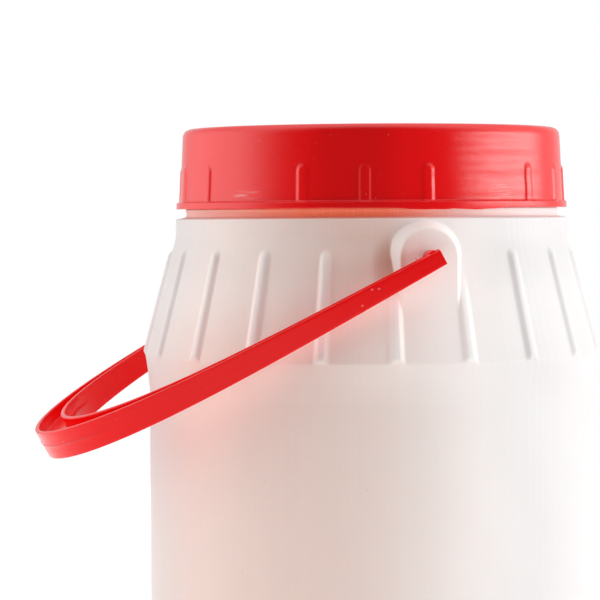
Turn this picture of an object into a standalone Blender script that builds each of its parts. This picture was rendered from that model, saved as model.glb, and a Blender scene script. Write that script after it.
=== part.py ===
"""Ten-litre plastic food bucket: ribbed cone shoulder, screw lid and swing handle.

The bucket stands on the origin with its axis along +Z. The handle turns about a line
parallel to Y and hangs towards -X. All sizes are in metres.
"""
import math

import bmesh
import bpy
from mathutils import Matrix, Vector

# Driving dimensions of the turned shapes
BODY_RADIUS = 0.1150
PANEL_RADIUS = 0.1142
LEDGE_Z = 0.1720
CONE_BASE_RADIUS = 0.1162
CONE_TOP_RADIUS = 0.1012
CONE_TOP_Z = LEDGE_Z + 0.0566
COLLAR_RADIUS = 0.1003
SHELF_Z = LEDGE_Z + 0.0691
NECK_RADIUS = 0.0949
LID_BOTTOM_Z = LEDGE_Z + 0.0742
LID_TOP_Z = LEDGE_Z + 0.1150
GAP = 0.0003
SEGMENTS = 60

# Wall: a shallow panel between two bands, flared at the top into a soft ledge
PANEL_BOTTOM_Z = 0.0320
PANEL_TOP_Z = LEDGE_Z - 0.0180
PANEL_SLOPE = 0.0040
FLARE_Z = LEDGE_Z - 0.0090
LEDGE_ROUND = 0.0018

# Collar, shelf and neck above the cone
COLLAR_RISE = 0.0035
COLLAR_DRAFT = 0.0002
SHELF_ROUND = 0.0006
NECK_FILLET = 0.0020
BEAD_RADIUS = NECK_RADIUS + 0.0013
BEAD_TOP_Z = LID_BOTTOM_Z - 0.0005
BEAD_BOTTOM_Z = LID_BOTTOM_Z - 0.0014
BEAD_EASE = 0.0004
PLUG_RADIUS = NECK_RADIUS - 0.0015
PLUG_EDGE = 0.0012

# Foot
FOOT_INNER_RADIUS = 0.0840
BASE_RECESS = 0.0016
BASE_DISC_RADIUS = 0.0220
BASE_STEP = 0.0020
BASE_CORNER_RADIUS = 0.0130
CORNER_STEPS = 5

# Lid
RIM_RADIUS = 0.1001
RIM_HEIGHT = 0.0031
SKIRT_BOTTOM_RADIUS = 0.0982
SKIRT_TOP_RADIUS = 0.0965
LID_EDGE_RADIUS = 0.0048
LID_WALL = 0.0022
LID_TOP_THICKNESS = 0.0040
LID_LAND_RADIUS = 0.0845
LID_LAND_STEP = 0.0015
LID_PANEL_DEPTH = 0.0014
LID_EDGE_STEPS = 4
RIM_EDGE = 0.0004
SKIRT_EDGE = 0.0006
CEILING_CORNER = 0.0030

# Bars round the cone and the lid
SHOULDER_BARS = 20
SHOULDER_BAR_WIDTH = 0.0076
SHOULDER_BAR_TOP_WIDTH = 0.0066
SHOULDER_BAR_HEIGHT = 0.0017
SHOULDER_BAR_LENGTH = 0.0555
SHOULDER_BAR_FLANK = 0.0017
SHOULDER_BAR_RINGS = ((0.0, 0.0002), (SHOULDER_BAR_FLANK, SHOULDER_BAR_HEIGHT))
LID_BAR_PLACES = 20
LID_BAR_GROUP = 4
LID_BAR_WIDTH = 0.0072
LID_BAR_HEIGHT = 0.0013
LID_BAR_LENGTH = 0.0198
LID_BAR_RINGS = ((0.0, 0.0001), (0.0009, 0.0009), (0.0024, LID_BAR_HEIGHT))
LID_BAR_FOOT_SINK = 0.0009
LID_BAR_TURN = math.radians(-16.6)
BAR_SINK = 0.0015
NOSE_STEPS = 6

# Handle pads and sockets
PIVOT_Z = LEDGE_Z + 0.0503
PAD_RADIUS = 0.0145
PAD_FACE = 0.1085
PAD_ROOT = 0.0960
PAD_DRAFT = 0.42
PAD_FOOT_Z = LEDGE_Z + 0.0200
PAD_STEPS = 12
SOCKET_RADIUS = 0.0040
SOCKET_BOTTOM = 0.1010
SOCKET_OVERCUT = 0.0030
PIN_SEGMENTS = 20

# Handle
HANDLE_TILT = math.radians(-28.8)
BAIL_REACH = 0.1938
BAIL_HALF_WIDTH = 0.1240
BAIL_TAPER = 0.165
BAIL_ROUNDNESS = 4.2
BAIL_STATIONS = 36
HEIGHT_GROWTH = 0.9
THICKNESS_GROWTH = 3.4
ARM_HEIGHT = 0.0078
BEND_HEIGHT = 0.0148
ARM_THICKNESS = 0.0068
BEND_THICKNESS = 0.0172
WALL = 0.0023
WEB = 0.0022
END_OVERRUN = 0.0030
BLOCK_LENGTH = 0.0112
BLOCK_PROUD = 0.00025
HUB_RADIUS = 0.0040
HUB_ROOT = 0.0020
HUB_GAP = 0.0005
PIN_RADIUS = 0.0035
PIN_TIP = 0.1022
PIN_BEVEL = 0.0006
SHARP_ANGLE = math.radians(30.0)
MERGE_DISTANCE = 0.00001


def clear_scene():
    """Remove whatever the file starts with."""
    for item in list(bpy.data.objects):
        bpy.data.objects.remove(item, do_unlink=True)


def plastic(name, colour, roughness):
    """Make a plain moulded plastic."""
    material = bpy.data.materials.new(name)
    material.use_nodes = True
    shader = material.node_tree.nodes["Principled BSDF"]
    shader.inputs["Base Color"].default_value = (*colour, 1.0)
    shader.inputs["Roughness"].default_value = roughness
    shader.inputs["Metallic"].default_value = 0.0
    return material


def add_object(name, mesh_data, material=None):
    """Turn a bmesh into a named object with faces pointing out."""
    bmesh.ops.recalc_face_normals(mesh_data, faces=mesh_data.faces)
    mesh = bpy.data.meshes.new(name)
    mesh_data.to_mesh(mesh)
    mesh_data.free()
    mesh.shade_smooth()
    mesh.set_sharp_from_angle(angle=SHARP_ANGLE)
    if material is not None:
        mesh.materials.append(material)
    item = bpy.data.objects.new(name, mesh)
    bpy.context.scene.collection.objects.link(item)
    return item


def add_tool(name, mesh_data):
    """Make an object that only shapes another one."""
    tool = add_object(name, mesh_data)
    tool.hide_render = True
    tool.display_type = "WIRE"
    return tool


def combine(item, tool, operation):
    """Join a tool to an object, or cut it away."""
    change = item.modifiers.new(tool.name, "BOOLEAN")
    change.operation = operation
    change.solver = "EXACT"
    change.object = tool


def turned(profile):
    """Spin a profile of (radius, height) pairs that starts and ends on the axis."""
    mesh_data = bmesh.new()
    points = [mesh_data.verts.new((radius, 0.0, height)) for radius, height in profile]
    edges = [mesh_data.edges.new(pair) for pair in zip(points, points[1:])]
    bmesh.ops.spin(
        mesh_data, geom=points + edges, cent=(0, 0, 0), axis=(0, 0, 1),
        angle=math.tau, steps=SEGMENTS, use_merge=True)
    bmesh.ops.remove_doubles(mesh_data, verts=mesh_data.verts, dist=MERGE_DISTANCE)
    return mesh_data


def arc(centre, radius, start, end, steps):
    """Points of an arc in the profile plane, angles in degrees from outward."""
    points = []
    for step in range(steps + 1):
        angle = math.radians(start + (end - start) * step / steps)
        points.append((centre[0] + radius * math.cos(angle), centre[1] + radius * math.sin(angle)))
    return points


def bucket_profile():
    """Outline of the filled bucket from the middle of its foot to the top of its neck."""
    corner = (BODY_RADIUS - BASE_CORNER_RADIUS, BASE_CORNER_RADIUS)
    plug_top = LID_TOP_Z - LID_TOP_THICKNESS - GAP
    foot = [
        (0.0, 0.0),
        (BASE_DISC_RADIUS, 0.0),
        (BASE_DISC_RADIUS + BASE_STEP, BASE_RECESS),
        (FOOT_INNER_RADIUS - BASE_STEP, BASE_RECESS),
        (FOOT_INNER_RADIUS, 0.0),
    ]
    wall = [
        (BODY_RADIUS, PANEL_BOTTOM_Z - PANEL_SLOPE),
        (PANEL_RADIUS, PANEL_BOTTOM_Z),
        (PANEL_RADIUS, PANEL_TOP_Z),
        (BODY_RADIUS, FLARE_Z),
        (CONE_BASE_RADIUS - LEDGE_ROUND / 4.0, LEDGE_Z - LEDGE_ROUND),
        (CONE_BASE_RADIUS, LEDGE_Z - LEDGE_ROUND / 4.0),
    ]
    shoulder = [
        (CONE_BASE_RADIUS, LEDGE_Z + LEDGE_ROUND / 3.0),
        (CONE_TOP_RADIUS, CONE_TOP_Z),
        (COLLAR_RADIUS + COLLAR_DRAFT, CONE_TOP_Z + COLLAR_RISE),
        (COLLAR_RADIUS, SHELF_Z - SHELF_ROUND),
        (COLLAR_RADIUS - SHELF_ROUND, SHELF_Z),
    ]
    neck = [
        (NECK_RADIUS + NECK_FILLET * 0.4, SHELF_Z + NECK_FILLET * 0.6),
        (NECK_RADIUS, SHELF_Z + NECK_FILLET),
        (NECK_RADIUS, BEAD_BOTTOM_Z - BEAD_EASE),
        (BEAD_RADIUS, BEAD_BOTTOM_Z),
        (BEAD_RADIUS, BEAD_TOP_Z),
        (PLUG_RADIUS, LID_BOTTOM_Z + PLUG_EDGE),
        (PLUG_RADIUS, plug_top - PLUG_EDGE),
        (PLUG_RADIUS - PLUG_EDGE, plug_top),
        (0.0, plug_top),
    ]
    return foot + arc(corner, BASE_CORNER_RADIUS, -90.0, 0.0, CORNER_STEPS) + wall + shoulder + neck


def lid_profile():
    """Outline of the screw lid, from the middle of its top, down outside and back inside."""
    edge = (SKIRT_TOP_RADIUS - LID_EDGE_RADIUS, LID_TOP_Z - LID_EDGE_RADIUS)
    rim_top = LID_BOTTOM_Z + RIM_HEIGHT
    ceiling = LID_TOP_Z - LID_TOP_THICKNESS
    panel_z = LID_TOP_Z - LID_PANEL_DEPTH
    top = [(0.0, panel_z), (LID_LAND_RADIUS - LID_LAND_STEP, panel_z), (LID_LAND_RADIUS, LID_TOP_Z)]
    outside = [
        (SKIRT_BOTTOM_RADIUS, rim_top + SKIRT_EDGE),
        (RIM_RADIUS - RIM_EDGE, rim_top),
        (RIM_RADIUS, rim_top - RIM_EDGE),
        (RIM_RADIUS, LID_BOTTOM_Z + RIM_EDGE),
        (RIM_RADIUS - RIM_EDGE, LID_BOTTOM_Z),
    ]
    inside = [
        (SKIRT_BOTTOM_RADIUS - LID_WALL + SKIRT_EDGE, LID_BOTTOM_Z),
        (SKIRT_TOP_RADIUS - LID_WALL, ceiling - CEILING_CORNER),
        (SKIRT_TOP_RADIUS - LID_WALL - SKIRT_EDGE, ceiling),
        (0.0, ceiling),
    ]
    return top + arc(edge, LID_EDGE_RADIUS, 90.0, 0.0, LID_EDGE_STEPS) + outside + inside


def bar_outline(width, top_width, length, inset):
    """Outline of an upright bar with a square foot and a round top, pulled in by an inset."""
    nose = top_width / 2.0
    points = [(-width / 2.0 + inset, inset), (width / 2.0 - inset, inset)]
    for step in range(NOSE_STEPS + 1):
        angle = math.pi * step / NOSE_STEPS
        reach = nose - inset
        points.append((reach * math.cos(angle), length - nose + reach * math.sin(angle)))
    return points


def add_bar(mesh_data, place, size, ring_steps):
    """Stack ever smaller outlines above a surface into one closed bar sunk into it."""
    outlines = [(bar_outline(*size, inset), height) for inset, height in ((0.0, -BAR_SINK), *ring_steps)]
    rings = []
    for outline, height in outlines:
        ring = [mesh_data.verts.new(place @ Vector((across, up, height))) for across, up in outline]
        rings.append(ring)
    for low, high in zip(rings, rings[1:]):
        for index in range(len(low)):
            following = (index + 1) % len(low)
            mesh_data.faces.new((low[index], low[following], high[following], high[index]))
    mesh_data.faces.new(rings[0])
    mesh_data.faces.new(rings[-1])


def surface_place(turn, foot, head):
    """Frame on a cone: local X runs round it, local Y up it from foot to head, local Z out."""
    outward = Vector((math.sin(turn), -math.cos(turn), 0.0))
    around = Vector((math.cos(turn), math.sin(turn), 0.0))
    upward = (outward * (head[0] - foot[0]) + Vector((0, 0, head[1] - foot[1]))).normalized()
    normal = around.cross(upward)
    origin = outward * foot[0] + Vector((0, 0, foot[1]))
    axes = Matrix((around, upward, normal)).transposed()
    return Matrix.Translation(origin) @ axes.to_4x4()


def shoulder_bars():
    """The raised bars that run up the cone, one pair astride each handle pad."""
    mesh_data = bmesh.new()
    foot = (CONE_BASE_RADIUS, LEDGE_Z)
    head = (CONE_TOP_RADIUS, CONE_TOP_Z)
    spacing = math.tau / SHOULDER_BARS
    for index in range(SHOULDER_BARS):
        place = surface_place(spacing * (index + 0.5), foot, head)
        size = (SHOULDER_BAR_WIDTH, SHOULDER_BAR_TOP_WIDTH, SHOULDER_BAR_LENGTH)
        add_bar(mesh_data, place, size, SHOULDER_BAR_RINGS)
    return mesh_data


def lid_bars():
    """The grip bars on the lid: three of every four places hold one."""
    mesh_data = bmesh.new()
    rim_top = LID_BOTTOM_Z + RIM_HEIGHT
    foot = (SKIRT_BOTTOM_RADIUS, rim_top - LID_BAR_FOOT_SINK)
    head = (SKIRT_TOP_RADIUS, LID_TOP_Z - LID_EDGE_RADIUS)
    spacing = math.tau / LID_BAR_PLACES
    for index in range(LID_BAR_PLACES):
        if index % LID_BAR_GROUP == LID_BAR_GROUP - 1:
            continue
        place = surface_place(LID_BAR_TURN + spacing * (index - 1), foot, head)
        add_bar(mesh_data, place, (LID_BAR_WIDTH, LID_BAR_WIDTH, LID_BAR_LENGTH), LID_BAR_RINGS)
    return mesh_data


def pad_outline(radius):
    """Outline of a handle pad, round above the pivot and straight below it, in X and Z."""
    points = []
    for step in range(PAD_STEPS + 1):
        angle = math.pi * step / PAD_STEPS
        points.append((radius * math.cos(angle), PIVOT_Z + radius * math.sin(angle)))
    return [(radius, PAD_FOOT_Z)] + points + [(-radius, PAD_FOOT_Z)]


def handle_pads():
    """Drafted pads on both sides of the cone, with flat upright faces for the handle."""
    mesh_data = bmesh.new()
    for side in (-1.0, 1.0):
        rings = []
        for depth in (PAD_ROOT, PAD_FACE):
            radius = PAD_RADIUS + (PAD_FACE - depth) * PAD_DRAFT
            ring = [mesh_data.verts.new((x, side * depth, z)) for x, z in pad_outline(radius)]
            rings.append(ring)
        inner, outer = rings
        for index in range(len(inner)):
            following = (index + 1) % len(inner)
            mesh_data.faces.new((inner[index], inner[following], outer[following], outer[index]))
        mesh_data.faces.new(inner)
        mesh_data.faces.new(outer)
    return mesh_data


def add_cylinder(mesh_data, radius, start, end):
    """Add a cylinder along Y, centred on the line x = 0, z = 0, between two values of y."""
    turn = Matrix.Rotation(math.radians(90.0), 4, "X")
    middle = Matrix.Translation((0.0, (start + end) / 2.0, 0.0))
    bmesh.ops.create_cone(
        mesh_data, cap_ends=True, segments=PIN_SEGMENTS, radius1=radius, radius2=radius,
        depth=abs(end - start), matrix=middle @ turn)


def pin_sockets():
    """Blind holes in the pads that take the handle's pins."""
    mesh_data = bmesh.new()
    for side in (-1.0, 1.0):
        add_cylinder(mesh_data, SOCKET_RADIUS, side * SOCKET_BOTTOM, side * (PAD_FACE + SOCKET_OVERCUT))
    bmesh.ops.translate(mesh_data, verts=mesh_data.verts, vec=(0.0, 0.0, PIVOT_Z))
    return mesh_data


def bail_outline(parameter):
    """Outer face of the handle in its own plane, from one pivot (0) round to the other (1)."""
    angle = math.pi * parameter
    reach = BAIL_REACH * math.sin(angle) ** (2.0 / BAIL_ROUNDNESS)
    width = (BAIL_HALF_WIDTH - BAIL_TAPER * reach) * math.cos(angle)
    return Vector((-reach, -width, 0.0))


def bail_stations():
    """Points on the handle's outer face with the direction inwards and a share of the bend."""
    parameters = [(index + 0.5) / BAIL_STATIONS for index in range(BAIL_STATIONS)]
    points = [bail_outline(parameter) for parameter in parameters]
    end_width = BAIL_HALF_WIDTH + BAIL_TAPER * END_OVERRUN
    run = [Vector((END_OVERRUN, -end_width, 0.0)), Vector((0.0, -BAIL_HALF_WIDTH, 0.0))]
    points = run + points + [Vector((point.x, -point.y, 0.0)) for point in reversed(run)]
    stations = []
    for index, point in enumerate(points):
        before = points[max(index - 1, 0)]
        after = points[min(index + 1, len(points) - 1)]
        along = (after - before).normalized()
        inward = Vector((-along.y, along.x, 0.0))
        if inward.dot(Vector((-BAIL_REACH / 2.0, 0.0, 0.0)) - point) < 0.0:
            inward.negate()
        share = min(max(-point.x / BAIL_REACH, 0.0), 1.0)
        stations.append((point, inward, share))
    return stations


def channel_section(height, thickness):
    """An H outline: two walls joined by a web half way up, as (inward, upward) pairs."""
    top = height / 2.0
    web = WEB / 2.0
    far = thickness - WALL
    upper = [(0.0, top), (WALL, top), (WALL, web), (far, web), (far, top), (thickness, top)]
    return upper + [(inward, -upward) for inward, upward in reversed(upper)]


def bail_strap():
    """The bent channel of the handle, thin at the arms and deep at the bend."""
    mesh_data = bmesh.new()
    rings = []
    for point, inward, share in bail_stations():
        height = ARM_HEIGHT + (BEND_HEIGHT - ARM_HEIGHT) * share ** HEIGHT_GROWTH
        thickness = ARM_THICKNESS + (BEND_THICKNESS - ARM_THICKNESS) * share ** THICKNESS_GROWTH
        ring = []
        for depth, rise in channel_section(height, thickness):
            ring.append(mesh_data.verts.new(point + inward * depth + Vector((0.0, 0.0, rise))))
        rings.append(ring)
    for first, second in zip(rings, rings[1:]):
        for index in range(len(first)):
            following = (index + 1) % len(first)
            mesh_data.faces.new((first[index], first[following], second[following], second[index]))
    mesh_data.faces.new(rings[0])
    mesh_data.faces.new(rings[-1])
    return mesh_data


def bail_ends():
    """Solid blocks, slanted like the arms, that close the channel at both pivots."""
    mesh_data = bmesh.new()
    width = ARM_THICKNESS + 2.0 * BLOCK_PROUD
    height = ARM_HEIGHT + 2.0 * BLOCK_PROUD
    middle_x = END_OVERRUN + BLOCK_PROUD - BLOCK_LENGTH / 2.0
    middle_y = BAIL_HALF_WIDTH - ARM_THICKNESS / 2.0
    for side in (-1.0, 1.0):
        place = Matrix.Translation((middle_x, side * middle_y, 0.0))
        size = Matrix.Diagonal((BLOCK_LENGTH, width, height, 1.0))
        block = bmesh.ops.create_cube(mesh_data, size=1.0, matrix=place @ size)
        for point in block["verts"]:
            point.co.y += side * BAIL_TAPER * point.co.x
    return mesh_data


def bail_pins():
    """A hub and a pin on the inner side of each arm."""
    mesh_data = bmesh.new()
    hub_root = BAIL_HALF_WIDTH - ARM_THICKNESS + HUB_ROOT
    hub_end = PAD_FACE + HUB_GAP
    for side in (-1.0, 1.0):
        profile = [
            (0.0, PIN_TIP), (PIN_RADIUS - PIN_BEVEL, PIN_TIP), (PIN_RADIUS, PIN_TIP + PIN_BEVEL),
            (PIN_RADIUS, hub_end), (HUB_RADIUS, hub_end), (HUB_RADIUS, hub_root), (0.0, hub_root),
        ]
        pin = bmesh.new()
        points = [pin.verts.new((radius, side * height, 0.0)) for radius, height in profile]
        edges = [pin.edges.new(pair) for pair in zip(points, points[1:])]
        bmesh.ops.spin(
            pin, geom=points + edges, cent=(0, 0, 0), axis=(0, 1, 0),
            angle=math.tau, steps=PIN_SEGMENTS, use_merge=True)
        bmesh.ops.remove_doubles(pin, verts=pin.verts, dist=MERGE_DISTANCE)
        shape = bpy.data.meshes.new("pin")
        pin.to_mesh(shape)
        pin.free()
        mesh_data.from_mesh(shape)
        bpy.data.meshes.remove(shape)
    return mesh_data


def build_bucket(material):
    """The filled bucket with its bars, pads and sockets."""
    body = add_object("bucket_body", turned(bucket_profile()), material)
    combine(body, add_tool("shoulder_bars", shoulder_bars()), "UNION")
    combine(body, add_tool("handle_pads", handle_pads()), "UNION")
    combine(body, add_tool("pin_sockets", pin_sockets()), "DIFFERENCE")
    return body


def build_lid(material):
    """The screw lid with its grip bars."""
    lid = add_object("screw_lid", turned(lid_profile()), material)
    combine(lid, add_tool("lid_bars", lid_bars()), "UNION")
    return lid


def build_handle(material):
    """The swing handle, at rest on the pivots and hanging towards -X."""
    handle = add_object("bail_handle", bail_strap(), material)
    for name, shape in (("bail_ends", bail_ends()), ("bail_pins", bail_pins())):
        tool = add_tool(name, shape)
        tool.parent = handle
        combine(handle, tool, "UNION")
    handle.location = (0.0, 0.0, PIVOT_Z)
    handle.rotation_euler = (0.0, HANDLE_TILT, 0.0)
    return handle


def main():
    """Build the bucket, its lid and its handle."""
    clear_scene()
    white = plastic("white_polyethylene", (0.86, 0.80, 0.77), 0.42)
    red_lid = plastic("red_lid_plastic", (0.70, 0.012, 0.016), 0.22)
    red_handle = plastic("red_handle_plastic", (0.72, 0.014, 0.018), 0.28)
    build_bucket(white)
    build_lid(red_lid)
    build_handle(red_handle)


main()
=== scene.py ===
"""Studio picture of a ten-litre food bucket: milky body, red screw lid and red swing handle.

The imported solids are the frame. Each piece made here stands for one of them with a finer mesh.
Sizes are in metres. The bucket's axis is Z, an azimuth of 0 faces -Y and grows towards +X.
"""
import logging
import math
from dataclasses import dataclass, field
from enum import Enum
from itertools import pairwise
from typing import Any, Callable, Sequence

import bpy
import numpy as np
from mathutils import Matrix, Vector


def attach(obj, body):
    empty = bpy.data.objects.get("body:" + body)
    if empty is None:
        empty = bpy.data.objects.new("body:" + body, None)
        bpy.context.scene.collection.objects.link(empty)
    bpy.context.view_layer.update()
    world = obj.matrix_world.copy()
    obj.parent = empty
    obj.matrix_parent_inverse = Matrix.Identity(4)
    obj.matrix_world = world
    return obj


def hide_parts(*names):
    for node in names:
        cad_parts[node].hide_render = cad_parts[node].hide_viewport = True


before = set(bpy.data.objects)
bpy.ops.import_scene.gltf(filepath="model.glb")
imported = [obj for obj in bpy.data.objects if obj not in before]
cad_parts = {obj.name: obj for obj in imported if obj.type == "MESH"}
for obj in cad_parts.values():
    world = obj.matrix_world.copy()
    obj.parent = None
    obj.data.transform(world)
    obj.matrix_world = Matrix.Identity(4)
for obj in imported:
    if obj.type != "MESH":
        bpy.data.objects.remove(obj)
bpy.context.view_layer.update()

log = logging.getLogger("food_bucket")

Point = tuple[float, float]
Colour = tuple[float, float, float]
Place = tuple[float, float, float]
Stops = tuple[tuple[float, float], ...]

FULL_TURN = math.tau
MERGE_DISTANCE = 0.00001
RAISED = "raised"
IOR = 1.5
# Painted highlights on the lid's skirt: streaked pale patches where the side light's reflection falls, each
# a centre and a reach.
LID_PAINTED_HIGHLIGHTS = (
    ((-0.078, -0.058, 0.2530), (0.010, 0.012, 0.0030)),
    ((0.0415, -0.088, 0.2530), (0.010, 0.008, 0.0060)))
HANDLE_FLECKS = ((-0.0312, -0.1183, 0.2077), (-0.0279, -0.1188, 0.2080), (-0.0356, -0.1171, 0.2001))


class Body(Enum):
    """The moving bodies that a piece can ride on."""

    BUCKET = "bucket"
    HANDLE = "handle"


class Slot(Enum):
    """The record's material slots."""

    BUCKET = "bucket"
    LID = "lid"
    HANDLE = "handle"


class Node(Enum):
    """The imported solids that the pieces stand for."""

    BUCKET = "bucket_body"
    LID = "screw_lid"
    HANDLE = "bail_handle"


def soft_ramp(value: np.ndarray, ease: float) -> np.ndarray:
    """Rise from 0 to 1 as the value does, with both corners rounded.

    Args:
        value: Positions along the ramp, 0 at its foot and 1 at its head.
        ease: Half the length of each rounded corner, on the same scale.

    Returns:
        The heights, from 0 to 1.
    """
    def area(at: np.ndarray) -> np.ndarray:
        """Area under the plain ramp up to a position."""
        return np.where(at < 0.0, 0.0, np.where(at < 1.0, at * at / 2.0, at - 0.5))

    return (area(value + ease) - area(value - ease)) / (2.0 * ease)


def soft_positive(value: np.ndarray, ease: float) -> np.ndarray:
    """The positive part of a value, with its corner rounded over plus and minus the ease."""
    rounded = (value + ease) ** 2 / (4.0 * ease)
    return np.where(value < -ease, 0.0, np.where(value > ease, value, rounded))


def soft_highest(first: np.ndarray, second: np.ndarray, ease: float) -> np.ndarray:
    """The higher of two surfaces, with a fillet where they meet."""
    return first + soft_positive(second - first, ease)


def waves(angle: np.ndarray, counts: Sequence[int], seed: float) -> np.ndarray:
    """A closed wavy line round the axis, from a few sine waves of whole counts.

    Args:
        angle: Azimuths in radians.
        counts: How many times each wave repeats in one turn.
        seed: A number that sets the waves' phases.

    Returns:
        Heights between about -1 and 1.
    """
    total = np.zeros_like(angle)
    for place, count in enumerate(counts):
        total += np.sin(count * angle + seed * (place + 1) * (place + 2)) / (1.0 + 0.4 * place)
    return total / (0.7 * len(counts))


@dataclass(frozen=True)
class Corner:
    """A corner of an outline, in the plane of the outline."""

    across: float
    up: float
    rounding: float = 0.0
    step: float = 1.0


class Outline:
    """A line through corners, some of them rounded, with rows of points on its straights."""

    ARC_STEP = math.radians(18.0)

    def __init__(self, corners: Sequence[Corner], closed: bool = False) -> None:
        """Keep the corners and whether the last one joins the first."""
        self.corners = list(corners)
        self.closed = closed

    def _rounded(self, before: Corner, corner: Corner, after: Corner) -> list[Vector]:
        """Points of one rounded corner.

        Args:
            before: The corner before it.
            corner: The corner to round.
            after: The corner after it.

        Returns:
            The points of the arc, or the corner itself where it is sharp.
        """
        place = Vector((corner.across, corner.up))
        back = Vector((before.across, before.up)) - place
        ahead = Vector((after.across, after.up)) - place
        if corner.rounding <= 0.0 or back.length == 0.0 or ahead.length == 0.0:
            return [place]
        turn = math.pi - back.angle(ahead)
        if turn < math.radians(0.5):
            return [place]
        reach = min(corner.rounding * math.tan(turn / 2.0), 0.48 * back.length, 0.48 * ahead.length)
        start = place + back.normalized() * reach
        end = place + ahead.normalized() * reach
        count = max(2, math.ceil(turn / self.ARC_STEP))
        points = []
        for index in range(count + 1):
            share = index / count
            first = start.lerp(place, share)
            points.append(first.lerp(place.lerp(end, share), share))
        return points

    def points(self) -> list[Point]:
        """Work out the outline's points.

        Returns:
            The points in order, with the straights divided by each corner's own step.
        """
        total = len(self.corners)
        groups = []
        for index, corner in enumerate(self.corners):
            inside = self.closed or 0 < index < total - 1
            before = self.corners[index - 1]
            after = self.corners[(index + 1) % total]
            groups.append(self._rounded(before, corner, after) if inside
                          else [Vector((corner.across, corner.up))])
        line: list[Point] = []
        last = groups[-1][-1] if self.closed else None
        for corner, group in zip(self.corners, groups):
            if last is not None:
                rows = max(1, round((group[0] - last).length / corner.step))
                line += [tuple(last.lerp(group[0], row / rows)) for row in range(1, rows)]
            line += [tuple(point) for point in group]
            last = group[-1]
        return line


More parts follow.
